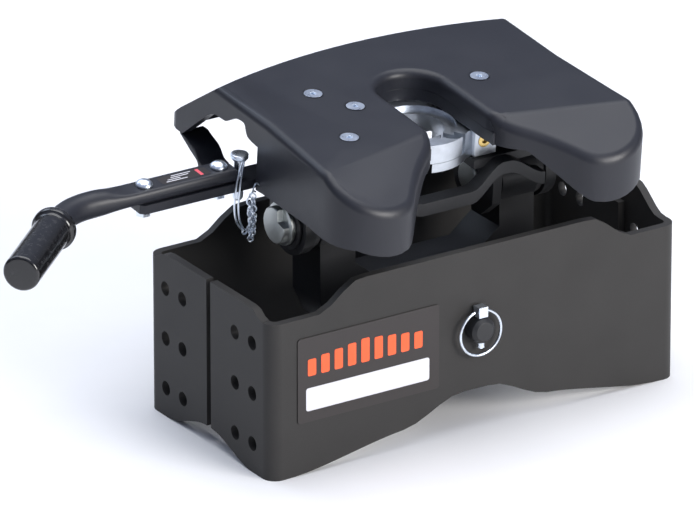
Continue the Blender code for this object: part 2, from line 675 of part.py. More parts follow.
def build_head():
    """The head's fixed pieces."""
    plate = build_skid_plate()
    liner_low = LINER_LOW
    liner_high = TOP - TOP_PLATE - GAP
    throat = [(x, y) for x, y in throat_side(0.4) if y > -70] + [(THROAT_HALF + 0.6, -LINER_NEAR)]
    half = [(0, 80), (118, 80), (126, 60), (126, -60), (118, -LINER_NEAR)] + throat[::-1]
    liner = part("throat_liner", sheet([mirrored(half)], liner_low, liner_high), "black_coat", HEAD)
    spots = (("front_left", -90, 43, liner_low), ("rear_left", -109, -49, liner_low),
             ("pivot_left", -JAW_PIVOT_X, JAW_PIVOT_Y, 80), ("pivot_right", JAW_PIVOT_X, JAW_PIVOT_Y, 80))
    for name, x, y, end in spots:
        screw = part("screw_" + name, countersunk(x, y, end), "zinc", HEAD)
        star = [(2.6 + 0.7 * math.cos(6 * math.radians(a)), math.radians(a)) for a in range(0, 360, 15)]
        socket = [(x + r * math.cos(a), y + r * math.sin(a)) for r, a in star]
        cut(screw, sheet([socket], TOP - 2.4, TOP + 2), HEAD)
        profile = [(0, TOP + 2), (9 + GAP, TOP + 2), (9 + GAP, TOP), (4.3, TOP - 5), (4.3, end - 20),
                   (0, end - 20)]
        cut(plate, turned(profile, (x, y, 0), "Z", 20), HEAD)
        if end == liner_low:
            cut(liner, rod(4.3, 60, 100, (x, y, 0), "Z", 20), HEAD)
    hook = smooth([(149, 29.2), (141, 26), (131, 23), (125, 19), (119, 13), (110, 11)], 3)
    back = smooth([(110, 1.5), (117, 2.5), (121.5, 7.5), (125, 13), (136, 18), (149, 24.5), (158, 29.2)], 3)
    part("side_hook", sheet([hook + back], -HALF_WIDTH, -135, "YZ"), "black_coat", HEAD)
    build_carrier()
    build_pitch_bolts()
    for name, side in (("left", -1), ("right", 1)):
        centre = (side * JAW_PIVOT_X, JAW_PIVOT_Y, 0)
        cut(liner, rod(JAW_PIN_RADIUS + GAP, 60, 100, centre), HEAD)
        pin = part("jaw_pin_" + name, rod(JAW_PIN_RADIUS, 32.6, liner_high, centre), "zinc", HEAD)
        cut(pin, rod(4.3, 78, 100, centre, "Z", 20), HEAD)
    shelf = [(-140, 32.6), (-128, 32.6), (-128, 57), (-140, 57)]
    part("bar_shelf", sheet([shelf], 19, BAR_LOW - GAP), "cast_black", HEAD)


# jaws

def jaw_tier(side, near, back, arm=False):
    """One tier of a jaw: a ring sector that reaches near and back degrees from its own side."""
    centre = (0, JAW_CENTRE_Y)
    inner = arc(centre, JAW_BORE, 180 + near, 180 - back, 20)
    outer = arc(centre, JAW_RIM, 180 - back, 180 - 62, 4) if back > 62 else []
    lobe = arc((-JAW_PIVOT_X, JAW_PIVOT_Y), 24, 80, 270, 10)
    tip_angle = math.radians(180 + near)
    middle = (JAW_BORE + JAW_RIM) / 2
    tip = (middle * math.cos(tip_angle), JAW_CENTRE_Y + middle * math.sin(tip_angle))
    round_tip = arc(tip, (JAW_RIM - JAW_BORE) / 2, near, near + 180, 8)
    rim = arc(centre, JAW_RIM, 180 + 50, 180 + near, 8)
    outline = inner + outer
    if arm:
        outline += [(-52, 40), (-JAW_PIVOT_X + 10, 52)]
        outline += arc((-JAW_PIVOT_X, JAW_PIVOT_Y + DRIVE_ARM), 10, 0, 180, 8)
        outline += [(-JAW_PIVOT_X - 10, 50)]
        lobe = arc((-JAW_PIVOT_X, JAW_PIVOT_Y), 24, 115, 270, 8)
    outline += lobe + rim
    if near > 100:
        outline += round_tip[::-1][1:-1]
    return [(-side * x, y) for x, y in outline]


def build_jaw(name, side, frame, upper, lower):
    """One jaw: two tiers whose fingers lap over the other jaw's, on a bushed pivot."""
    pivot = circle((side * JAW_PIVOT_X, JAW_PIVOT_Y), 13.3)
    top = sheet([jaw_tier(side, *upper), pivot], JAW_SPLIT + GAP / 2, JAW_TOP)
    jaw = part("jaw_" + name, top, "jaw_steel", frame)
    foot = sheet([jaw_tier(side, *lower, arm=True), pivot], JAW_LOW, JAW_SPLIT - GAP / 2)
    core = ring(22, 13.3, JAW_LOW + 1, JAW_TOP - 1, (side * JAW_PIVOT_X, JAW_PIVOT_Y, 0))
    join(jaw, foot, frame)
    join(jaw, core, frame)
    cut(jaw, rod(JAW_RECESS, JAW_TOP - 3.5, JAW_TOP + 5, (0, JAW_CENTRE_Y, 0)), frame)
    bush = ring(13, JAW_PIN_RADIUS + GAP, JAW_LOW, JAW_TOP, (side * JAW_PIVOT_X, JAW_PIVOT_Y, 0))
    part("jaw_bush_" + name, bush, "brass", frame)
    at = (side * JAW_PIVOT_X, JAW_PIVOT_Y + DRIVE_ARM, 0)
    cut(jaw, rod(DRIVE_PIN_RADIUS + GAP, 20, 60, at, "Z", 20), frame)
    part("drive_pin_" + name, rod(DRIVE_PIN_RADIUS, BAR_LOW, 50, at, "Z", 20, 1.0), "zinc", frame)
    return jaw


def build_jaws():
    """Both jaws and the threaded plug in the right one."""
    build_jaw("left", -1, JAW_L, (118, 22), (70, 108))
    jaw = build_jaw("right", 1, JAW_R, (56, 108), (105, 22))
    face_y = -38.0
    join(jaw, block((40, face_y, JAW_LOW + 0.5), (64, -10, 68)), JAW_R)
    cut(jaw, rod(7.3, face_y - 5, face_y + 6, (51, 0, 58), "Y", 20), JAW_R)
    plug = turned([(0, 5), (7, 5), (7, -0.5), (3.2, -0.5), (3.2, 2), (0, 2)], (51, face_y, 58), "Y", 20)
    part("jaw_plug", plug, "brass", JAW_R)


# release bar and handle

def drive_path(side, count=10):
    """Where a jaw's drive pin runs, seen from the cam plate, as the bar slides out."""
    path = []
    for i in range(count + 1):
        share = i / count
        turn = -side * JAW_OPEN * share
        x = side * JAW_PIVOT_X - DRIVE_ARM * math.sin(-turn)
        y = JAW_PIVOT_Y + DRIVE_ARM * math.cos(turn)
        path.append((x + BAR_TRAVEL * share, y))
    return path


def build_bar():
    """The release bar, the cam plate behind the jaws, the handle and its grip."""
    ends = [(BAR_IN, BAR_Y - BAR_HALF), (BAR_IN, BAR_Y + BAR_HALF)]
    nose = [(BAR_OUT + 4, BAR_Y + BAR_HALF), (BAR_OUT, BAR_Y + BAR_HALF - 4),
            (BAR_OUT, BAR_Y - BAR_HALF + 4), (BAR_OUT + 4, BAR_Y - BAR_HALF)]
    bar = part("pull_bar", sheet([ends + nose], BAR_LOW, BAR_HIGH), "black_coat", BAR)
    reach = DRIVE_PIN_RADIUS + 1.5
    left = [(x, y + reach) for x, y in drive_path(-1)]
    right = [(x, y + reach) for x, y in drive_path(1)]
    outline = [(-92, BAR_Y + BAR_HALF + GAP), (BAR_IN, BAR_Y + BAR_HALF + GAP), (BAR_IN, left[0][1])]
    outline += left + [(left[-1][0] + 6, left[-1][1]), (left[-1][0] + 6, right[0][1])] + right
    outline += [(right[-1][0] + 6, right[-1][1]), (right[-1][0] + 6, 88), (-92, 88)]
    part("cam_plate", sheet([outline], BAR_LOW, BAR_HIGH), "zinc", BAR)
    route = [(TUBE_IN, BAR_Y), (-215, BAR_Y), (-250, BAR_Y), (-282, BAR_Y), (-300, BAR_Y), (-315, BAR_Y)]
    route += smooth([(-329, BAR_Y), (-345, BAR_Y - 1.3), (-359, BAR_Y - 5.5), (-372, BAR_Y - 13),
                     (GRIP_X, BAR_Y - GRIP_DROP)], 3)
    lean = Vector((-1, -0.861)).normalized()
    route.append((GRIP_X + lean.x * 84, BAR_Y - GRIP_DROP + lean.y * 84))
    tube = wire([(x, y, TUBE_Z) for x, y in route], TUBE_RADIUS, resolution=4)
    for vertex in tube.vertices:
        flat = ease(vertex.co.x, -328, -292)
        vertex.co.z = TUBE_Z + (vertex.co.z - TUBE_Z) * (1 - flat * (1 - TUBE_FLAT_HALF / TUBE_RADIUS))
        vertex.co.y = BAR_Y + (vertex.co.y - BAR_Y) * (1 + flat * (BAR_HALF / TUBE_RADIUS - 1))
    handle = part("handle_tube", tube, "black_coat", BAR)
    for name, x in (("inner", -194.0), ("outer", -275.0)):
        for piece in (bar, handle):
            cut(piece, rod(4.6, 10, 70, (x, BAR_Y, 0), "Z", 16), BAR)
        crown = TUBE_Z + TUBE_FLAT_HALF + GAP
        dome = [(0, crown + 6), (3.5, crown + 5.6), (6.5, crown + 4), (8, crown + 1.6), (8, crown),
                (4.3, crown), (4.3, 22), (0, 22)]
        part("handle_bolt_" + name, turned(dome, (x, BAR_Y, 0), "Z", 16), "zinc", BAR)
        nut = sheet([circle((x, BAR_Y), 7.5, 6), circle((x, BAR_Y), 4.6, 16)], 22, BAR_LOW - GAP)
        part("handle_nut_" + name, nut, "zinc", BAR)
    start = Vector((GRIP_X, BAR_Y - GRIP_DROP))
    bore = TUBE_RADIUS + GAP
    grip = turned([(0, GRIP_LENGTH), (15.5, GRIP_LENGTH), (GRIP_RADIUS, GRIP_LENGTH - 2), (GRIP_RADIUS, 9),
                   (20.5, 8), (21, 6), (21, 2), (20, 0), (bore, 0), (bore, 85), (0, 85)])
    turn = math.atan2(lean.y, lean.x)
    grip.transform(Matrix.Translation((start.x, start.y, TUBE_Z)) @ Matrix.Rotation(turn, 4, "Z") @ AXES["X"])
    part("handle_grip", clean(grip), "grip_vinyl", BAR)
    cut(bar, rod(LOCK_PIN_RADIUS + GAP, 10, 60, (LOCK_PIN_X, LOCK_PIN_Y, 0), "Z", 16), BAR)


def build_lock_pin():
    """The pin through the release bar, with its spring wire and the chain on it."""
    head = [(0, 62.5), (7.5, 62.5), (8.5, 61.5), (8.5, 58.5), (7, 57.8), (7, 56), (LOCK_PIN_RADIUS, 55.4),
            (LOCK_PIN_RADIUS, 17), (3.5, 15), (0, 15)]
    part("lock_pin", turned(head, (LOCK_PIN_X, LOCK_PIN_Y, 0), "Z", 24), "zinc", LOCK)
    x = LOCK_PIN_X - 1
    y = LOCK_PIN_Y - 9.5
    clip = smooth([(x, y + 0.2, 57), (x, y - 4.5, 52), (x - 1, y - 8, 38), (x - 1, y - 9, 16),
                   (x, y - 8.5, 0), (x + 1.5, y - 8.5, -10)], 3)
    part("lock_pin_clip", wire(clip, 1.6), "zinc", LOCK)
    chain = smooth([(x + 5, y - 14, 15), (x + 5, y - 16, 3), (x + 4, y - 16.5, -12), (x + 4, y - 15, -27)], 3)
    part("lock_pin_chain", wire(chain, 3.6), "zinc", LOCK)


build_base()
build_yoke()
build_head()
build_jaws()
build_bar()
build_lock_pin()
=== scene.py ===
"""Looks of a fifth wheel hitch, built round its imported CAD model.

Sizes are millimetres in the classes below and become metres when a piece is made. Pieces of the
tilting head are given in the head's own frame, whose zero is on the pitch axis.
"""

import json
import logging
import math
from dataclasses import dataclass, field
from enum import Enum
from typing import Any, Callable, Iterable, Sequence

import bmesh
import bpy
from mathutils import Matrix, Vector

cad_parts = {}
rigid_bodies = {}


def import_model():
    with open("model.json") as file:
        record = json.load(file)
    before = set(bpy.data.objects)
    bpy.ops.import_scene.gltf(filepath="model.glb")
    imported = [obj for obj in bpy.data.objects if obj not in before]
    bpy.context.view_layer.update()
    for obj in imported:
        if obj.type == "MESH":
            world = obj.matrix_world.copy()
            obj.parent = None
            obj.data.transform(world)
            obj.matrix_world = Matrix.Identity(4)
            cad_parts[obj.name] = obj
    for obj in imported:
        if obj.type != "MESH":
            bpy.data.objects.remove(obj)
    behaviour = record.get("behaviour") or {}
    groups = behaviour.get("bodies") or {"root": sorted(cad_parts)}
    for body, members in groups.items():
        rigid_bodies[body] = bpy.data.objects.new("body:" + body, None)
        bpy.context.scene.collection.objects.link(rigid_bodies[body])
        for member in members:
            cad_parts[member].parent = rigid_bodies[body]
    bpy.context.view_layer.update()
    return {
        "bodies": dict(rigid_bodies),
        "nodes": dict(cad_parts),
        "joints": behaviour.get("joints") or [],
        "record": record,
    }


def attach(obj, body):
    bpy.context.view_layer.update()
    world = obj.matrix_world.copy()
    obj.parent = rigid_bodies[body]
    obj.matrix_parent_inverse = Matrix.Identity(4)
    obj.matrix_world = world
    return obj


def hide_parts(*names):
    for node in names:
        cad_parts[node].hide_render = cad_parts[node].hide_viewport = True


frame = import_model()
MM = 0.001
LOG = logging.getLogger("fifth_wheel_hitch")
Point = tuple[float, float, float]
Flat = tuple[float, float]


class Frame(Enum):
    """The frames that pieces are given in, each as its matrix in millimetres."""

    WORLD = Matrix.Identity(4)
    HEAD = Matrix.Translation((0.0, 0.0, 205.0)) @ Matrix.Rotation(math.radians(5.0), 4, "X")


class Axis(Enum):
    """The axis that a turned piece stands on."""

    X = Matrix.Rotation(math.radians(90.0), 4, "Y")
    Y = Matrix.Rotation(math.radians(-90.0), 4, "X")
    Z = Matrix.Identity(4)


# shader expressions


class Value:
    """A socket of a shader tree that takes part in Python expressions."""

    def __init__(self, tree: "ShaderTree", socket: Any) -> None:
        """Wrap socket, an output of a node in tree."""
        self.tree = tree
        self.socket = socket

    def _math(self, operation: str, first: Any, second: Any) -> "Value":
        """Add one Math node on two values."""
        return self.tree.node("ShaderNodeMath", {"operation": operation}, {0: first, 1: second})

    def __add__(self, other: Any) -> "Value":
        """Sum."""
        return self._math("ADD", self, other)

    __radd__ = __add__

    def __sub__(self, other: Any) -> "Value":
        """Difference."""
        return self._math("SUBTRACT", self, other)

    def __rsub__(self, other: Any) -> "Value":
        """Difference, with this value taken away."""
        return self._math("SUBTRACT", other, self)

    def __mul__(self, other: Any) -> "Value":
        """Product."""
        return self._math("MULTIPLY", self, other)

    __rmul__ = __mul__

    def clamped(self) -> "Value":
        """This value held between 0 and 1."""
        return self.tree.node("ShaderNodeClamp", {}, {0: self})


class ShaderTree:
    """A material's node tree with one Principled shader."""

    def __init__(self, name: str) -> None:
        """Start a new material called name."""
        self.material = bpy.data.materials.new(name)
        self.material.use_nodes = True
        self.nodes = self.material.node_tree.nodes
        self.links = self.material.node_tree.links
        self.shader = self.nodes["Principled BSDF"]

    def node(self, kind: str, settings: dict[str, Any], inputs: dict[Any, Any], output: Any = 0) -> Value:
        """Add any node.

        Args:
            kind: The node's type.
            settings: Its properties, set before its inputs.
            inputs: Values or links by socket name or number.
            output: The socket that the result reads.

        Returns:
            The chosen output.
        """
        made = self.nodes.new(kind)
        for key, value in settings.items():
            setattr(made, key, value)
        for key, value in inputs.items():
            self.connect(made.inputs[key], value)
        return Value(self, made.outputs[output])

    def connect(self, socket: Any, value: Any) -> None:
        """Link a Value to a socket, or set a plain number or colour on it."""
        if isinstance(value, Value):
            self.links.new(value.socket, socket)
        else:
            socket.default_value = value

    def set(self, **inputs: Any) -> None:
        """Set or link the shader's own sockets; an underscore stands for a space."""
        for key, value in inputs.items():
            self.connect(self.shader.inputs[key.replace("_", " ")], value)

    def position(self, stretch: Point = (1.0, 1.0, 1.0)) -> Value:
        """Object coordinates, stretched along each axis."""
        place = self.node("ShaderNodeTexCoord", {}, {}, "Object")
        return self.node("ShaderNodeMapping", {}, {"Vector": place, "Scale": stretch})

    def noise(self, size_mm: float, detail: float = 3.0, stretch: Point = (1.0, 1.0, 1.0)) -> Value:
        """Smooth noise whose lumps are about size_mm across."""
        inputs = {"Vector": self.position(stretch), "Scale": 1.0 / (size_mm * MM), "Detail": detail}
        return self.node("ShaderNodeTexNoise", {}, inputs, "Fac")

    def mix(self, factor: Value, low: Sequence[float], high: Sequence[float]) -> Value:
        """Blend two colours by a factor."""
        inputs = {0: factor, 6: (*low, 1.0), 7: (*high, 1.0)}
        return self.node("ShaderNodeMix", {"data_type": "RGBA"}, inputs, 2)

    def bump(self, height: Value, strength: float, distance_mm: float) -> None:
        """Feed a height to the shader's Normal."""
        inputs = {"Strength": strength, "Distance": distance_mm * MM, "Height": height}
        self.set(Normal=self.node("ShaderNodeBump", {}, inputs))


@dataclass(frozen=True)
class Coat:
    """Powder coat or paint on metal: fine orange peel and faint mottling.

    Attributes:
        name: The material's name.
        dark: Colour in the low spots.
        light: Colour in the high spots.
        roughness: Middle roughness.
        peel_mm: Size of the orange peel.
        relief: Strength of its bump.
        sheen: Level of its mirror reflection.
    """

    name: str
    dark: Point
    light: Point
    roughness: float = 0.42
    peel_mm: float = 1.6
    relief: float = 0.16
    sheen: float = 0.5

    def make(self) -> bpy.types.Material:
        """Build the material."""
        tree = ShaderTree(self.name)
        mottle = tree.noise(38.0, 4.0)
        peel = tree.noise(self.peel_mm, 2.0)
        grit = tree.noise(self.peel_mm * 0.32, 1.0)
        shade = (mottle * 0.75 + peel * 0.25).clamped()
        tree.set(Base_Color=tree.mix(shade, self.dark, self.light))
        tree.set(Roughness=(mottle - 0.5) * 0.16 + (grit - 0.5) * 0.10 + self.roughness)
        tree.shader.inputs["Specular IOR Level"].default_value = self.sheen
        tree.bump(peel * 0.8 + grit * 0.35, self.relief, 0.25)
        return tree.material


@dataclass(frozen=True)
class Plated:
    """Zinc plate or bare machined metal with fine turning marks and handling smudges.

    Attributes:
        name: The material's name.
        dark: Colour of the duller patches.
        light: Colour of the bright metal.
        roughness: Middle roughness.
        lay: How the machining marks stretch along X, Y and Z.
        relief: Strength of the marks' bump.
    """

    name: str
    dark: Point
    light: Point
    roughness: float = 0.26
    lay: Point = (1.0, 1.0, 9.0)
    relief: float = 0.10

    def make(self) -> bpy.types.Material:
        """Build the material."""
        tree = ShaderTree(self.name)
        smudge = tree.noise(9.0, 4.0)
        marks = tree.noise(1.5, 2.0, self.lay)
        tree.set(Base_Color=tree.mix((smudge * 1.2 - 0.1).clamped(), self.dark, self.light), Metallic=1.0)
        tree.set(Roughness=(smudge - 0.5) * 0.22 + (marks - 0.5) * 0.10 + self.roughness)
        tree.bump(marks, self.relief, 0.06)
        return tree.material


@dataclass(frozen=True)
class Vinyl:
    """Glossy dipped vinyl with slow ripples and a few dull scuffs."""

    name: str = "grip_vinyl"
    colour: Point = (0.006, 0.006, 0.007)
    scuffed: Point = (0.020, 0.020, 0.022)

    def make(self) -> bpy.types.Material:
        """Build the material."""
        tree = ShaderTree(self.name)
        ripple = tree.noise(14.0, 2.0)
        scuff = (tree.noise(5.0, 5.0) * 3.0 - 1.55).clamped()
        tree.set(Base_Color=tree.mix(scuff, self.colour, self.scuffed))
        tree.set(Roughness=scuff * 0.22 + 0.20)
        tree.bump(ripple, 0.25, 0.8)
        tree.shader.inputs["Coat Weight"].default_value = 0.35
        tree.shader.inputs["Coat Roughness"].default_value = 0.12
        return tree.material


@dataclass(frozen=True)
class Print:
    """Printed vinyl film: flat ink with faint fibre and slow undulation."""

    name: str
    colour: Point
    roughness: float = 0.38

    def make(self) -> bpy.types.Material:
        """Build the material."""
        tree = ShaderTree(self.name)
        fibre = tree.noise(0.9, 2.0)
        wave = tree.noise(22.0, 2.0)
        worn = tuple(min(1.0, channel * 1.12 + 0.004) for channel in self.colour)
        tree.set(Base_Color=tree.mix(fibre, self.colour, worn))
        tree.set(Roughness=(fibre - 0.5) * 0.12 + self.roughness)
        tree.bump(wave * 0.6 + fibre * 0.2, 0.10, 0.20)
        return tree.material


# The blue tint in the powder coat's two colours is painted cool light from above, not a hue of the black
# paint itself.
POWDER_PAINTED_COOL_LIGHT = Coat("powder_coat", (0.0115, 0.0125, 0.0175), (0.0195, 0.0210, 0.0280), 0.40, sheen=0.38)
# The wall coat is the same black paint as the head, given a brighter, warmer colour as painted front light on
# the base's front walls.
WALLS_PAINTED_FRONT_LIGHT = Coat("wall_coat_painted_front_light", (0.0285, 0.0275, 0.0268), (0.0420, 0.0408, 0.0400), 0.50, sheen=0.20)
CASTING = Coat("cast_black", (0.008, 0.0085, 0.010), (0.017, 0.018, 0.021), 0.48, 2.4, 0.30)
ZINC = Plated("zinc_plate", (0.68, 0.74, 0.81), (0.80, 0.86, 0.95), 0.30)
BOLT_STEEL = Plated("bolt_steel", (0.42, 0.44, 0.43), (0.52, 0.55, 0.54), 0.38)
JAW_STEEL = Plated("jaw_steel", (0.47, 0.50, 0.54), (0.66, 0.70, 0.76), 0.34, (1.0, 1.0, 5.0), 0.14)
BRASS = Plated("brass", (0.52, 0.36, 0.11), (0.78, 0.58, 0.24), 0.24)
POLY = Coat("polyurethane", (0.030, 0.031, 0.033), (0.045, 0.046, 0.049), 0.52, 3.0, 0.08)
VINYL = Vinyl()
INK_DARK = Print("label_dark", (0.020, 0.016, 0.0155))
INK_WHITE = Print("label_white", (0.62, 0.62, 0.66))
INK_ORANGE = Print("label_orange", (0.83, 0.105, 0.026))
INK_RED = Print("label_red", (0.72, 0.10, 0.13))


class Shop:
    """Makes each finish once and hands it out."""

    def __init__(self) -> None:
        """Start with no materials."""
        self.made: dict[str, bpy.types.Material] = {}

    def get(self, finish: Any) -> bpy.types.Material:
        """The material of a finish."""
        if finish.name not in self.made:
            self.made[finish.name] = finish.make()
        return self.made[finish.name]


SHOP = Shop()


# mesh tools


def turned(profile: Sequence[Flat], centre: Point, axis: Axis = Axis.Z, steps: int = 56) -> bmesh.types.BMesh:
    """Spin a profile of (radius, height) about an axis through centre."""
    body = bmesh.new()
    line = [body.verts.new((radius, 0.0, height)) for radius, height in profile]
    edges = [body.edges.new(pair) for pair in zip(line, line[1:])]
    if profile[0][0] > 0.0:
        edges.append(body.edges.new((line[-1], line[0])))
    bmesh.ops.spin(body, geom=line + edges, cent=(0, 0, 0), axis=(0, 0, 1), dvec=(0, 0, 0),
                   angle=math.tau, steps=steps, use_merge=True)
    bmesh.ops.remove_doubles(body, verts=body.verts[:], dist=0.003)
    bmesh.ops.recalc_face_normals(body, faces=body.faces[:])
    bmesh.ops.transform(body, matrix=Matrix.Translation(centre) @ axis.value, verts=body.verts[:])
    return body


def swept(route: Sequence[Point], radius: float, closed: bool = False, sides: int = 12) -> bmesh.types.BMesh:
    """A round wire along a route: a ring of sides is set square to the route at each point."""
    body = bmesh.new()
    count = len(route)
    rings = []
    up = Vector((0.31, 0.17, 0.94))
    for i, point in enumerate(route):
        before = route[i - 1] if closed or i else point
        after = route[(i + 1) % count] if closed or i < count - 1 else point
        along = (Vector(after) - Vector(before)).normalized()
        side = along.cross(up).normalized()
        up = side.cross(along)
        basis = Matrix((side, up, along)).transposed().to_4x4()
        made = bmesh.ops.create_circle(body, segments=sides, radius=radius,
                                       matrix=Matrix.Translation(point) @ basis)
        rings.append(made["verts"])
    pairs = list(zip(rings, rings[1:]))
    if closed:
        pairs.append((rings[-1], rings[0]))
    for first, second in pairs:
        shift = 0
        if closed and second is rings[0]:
            shift = min(range(sides), key=lambda k: (second[k].co - first[0].co).length)
        for k in range(sides):
            n = (k + 1) % sides
            body.faces.new((first[k], first[n], second[(n + shift) % sides], second[(k + shift) % sides]))
    if not closed:
        body.faces.new(rings[0][::-1])
        body.faces.new(rings[-1])
    bmesh.ops.recalc_face_normals(body, faces=body.faces[:])
    return body


def curve_through(points: Sequence[Sequence[float]], count: int = 8) -> list[tuple[float, ...]]:
    """A smooth curve through points, with count steps between each two."""
    ends = [points[0], *points, points[-1]]
    line: list[tuple[float, ...]] = []
    for a, b, c, d in zip(ends, ends[1:], ends[2:], ends[3:]):
        for i in range(count):
            t = i / count
            line.append(tuple(
                0.5 * (2 * q + (r - p) * t + (2 * p - 5 * q + 4 * r - s) * t * t
                       + (3 * q - p - 3 * r + s) * t ** 3)
                for p, q, r, s in zip(a, b, c, d)))
    return line + [tuple(points[-1])]


def rounded_panel(low: Flat, high: Flat, radius: float, depth: tuple[float, float]) -> bmesh.types.BMesh:
    """A thin upright panel in the XZ plane with rounded corners, between two depths in Y."""
    body = bmesh.new()
    bmesh.ops.create_grid(body, x_segments=1, y_segments=1, size=0.5)
    for vertex in body.verts:
        x = low[0] + (high[0] - low[0]) * (vertex.co.x + 0.5)
        z = low[1] + (high[1] - low[1]) * (vertex.co.y + 0.5)
        vertex.co = (x, depth[0], z)
    bmesh.ops.bevel(body, geom=body.verts[:], offset=radius, segments=5, profile=0.5, affect="VERTICES",
                    material=-1)
    grown = bmesh.ops.extrude_face_region(body, geom=body.faces[:])
    moved = [item for item in grown["geom"] if isinstance(item, bmesh.types.BMVert)]
    bmesh.ops.translate(body, vec=(0, depth[1] - depth[0], 0), verts=moved)
    bmesh.ops.recalc_face_normals(body, faces=body.faces[:])
    return body


def joined(bodies: Iterable[bmesh.types.BMesh]) -> bmesh.types.BMesh:
    """Put several shapes into one piece."""
    whole = bmesh.new()
    for body in bodies:
        mesh = bpy.data.meshes.new("joined")
        body.to_mesh(mesh)
        body.free()
        whole.from_mesh(mesh)
        bpy.data.meshes.remove(mesh)
    return whole


def weighted_normals(body: bmesh.types.BMesh, sharp: float) -> list[Vector]:
    """Smooth a shape so that its large faces shade flat and only the rounds between them turn.

    Args:
        body: The shape; its sharp edges and smooth faces are marked here.
        sharp: Edges over this angle in degrees stay sharp.

    Returns:
        One normal for each corner, in the order of the faces' corners.
    """
    limit = math.radians(sharp)
    body.normal_update()
    for edge in body.edges:
        edge.smooth = len(edge.link_faces) == 2 and edge.calc_face_angle(0.0) < limit
    corner_normal: dict[tuple[int, int], Vector] = {}
    body.faces.index_update()
    body.verts.index_update()
    areas = {face.index: face.calc_area() for face in body.faces}
    for vertex in body.verts:
        waiting = set(vertex.link_faces)
        while waiting:
            fan = [waiting.pop()]
            for face in fan:
                for edge in face.edges:
                    if edge.smooth and vertex in edge.verts:
                        for other in edge.link_faces:
                            if other in waiting:
                                waiting.discard(other)
                                fan.append(other)
            total = Vector((0.0, 0.0, 0.0))
            for face in fan:
                total += face.normal * areas[face.index]
            total.normalize()
            for face in fan:
                corner_normal[face.index, vertex.index] = total
    normals = []
    for face in body.faces:
        face.smooth = True
        normals.extend(corner_normal[face.index, corner.vert.index] for corner in face.loops)
    return normals


def make_piece(name: str, body: bmesh.types.BMesh, finish: Any, rides: str, frame: Frame = Frame.WORLD,
               replaces: Sequence[str] = (), sharp: float = 38.0) -> bpy.types.Object:
    """Turn a shape in millimetres into a finished piece.

    Args:
        name: The piece's name.
        body: Its shape in its frame; it is freed here.
        finish: The finish it gets.
        rides: The body it moves with.
        frame: The frame that the shape is given in.
        replaces: The CAD nodes that it stands for.
        sharp: Edges over this angle in degrees stay sharp.

    Returns:
        The new object.
    """
    bmesh.ops.transform(body, matrix=Matrix.Scale(MM, 4) @ frame.value, verts=body.verts[:])
    normals = weighted_normals(body, sharp)
    mesh = bpy.data.meshes.new(name)
    body.to_mesh(mesh)
    body.free()
    mesh.materials.append(SHOP.get(finish))
    mesh.normals_split_custom_set(normals)
    piece = bpy.data.objects.new(name, mesh)
    bpy.context.scene.collection.objects.link(piece)
    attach(piece, rides)
    if replaces:
        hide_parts(*replaces)
    LOG.info("%s: %d faces", name, len(mesh.polygons))
    return piece


def refined(node: str, width: float, segments: int = 2, angle: float = 40.0,
            pick: Callable[[bmesh.types.BMEdge], bool] | None = None) -> bmesh.types.BMesh:
    """A copy of a CAD node with its flat faces whole again and its edges rounded.

    Args:
        node: The CAD node.
        width: Width of the rounding in millimetres.
        segments: Steps across it.
        angle: The sharpest bend in degrees that is left alone.
        pick: Says which of the sharp edges to round; all of them without it.

    Returns:
        The shape in millimetres, in the world's frame.
    """
    body = bmesh.new()
    body.from_mesh(frame["nodes"][node].data)
    bmesh.ops.transform(body, matrix=Matrix.Scale(1.0 / MM, 4), verts=body.verts[:])
    bmesh.ops.remove_doubles(body, verts=body.verts[:], dist=0.004)
    bmesh.ops.dissolve_limit(body, angle_limit=math.radians(1.0), verts=body.verts[:], edges=body.edges[:])
    if width > 0.0:
        bevel_sharp(body, width, segments, angle, pick)
    return body


def bevel_sharp(body: bmesh.types.BMesh, width: float, segments: int, angle: float,
                pick: Callable[[bmesh.types.BMEdge], bool] | None = None) -> None:
    """Round the edges of a shape that bend by more than angle degrees."""
    limit = math.radians(angle)
    sharp = [edge for edge in body.edges if len(edge.link_faces) == 2 and edge.calc_face_angle(0.0) > limit]
    if pick:
        sharp = [edge for edge in sharp if pick(edge)]
    bmesh.ops.bevel(body, geom=sharp, offset=width, segments=segments, profile=0.5, affect="EDGES",
                    clamp_overlap=pick is None, material=-1)


def dress(nodes: Sequence[str], finish: Any) -> None:
    """Give CAD nodes whose shape is right a better material."""
    for node in nodes:
        shape = frame["nodes"][node]
        shape.data.materials.clear()
        shape.data.materials.append(SHOP.get(finish))
        LOG.info("%s: dressed in %s", node, finish.name)


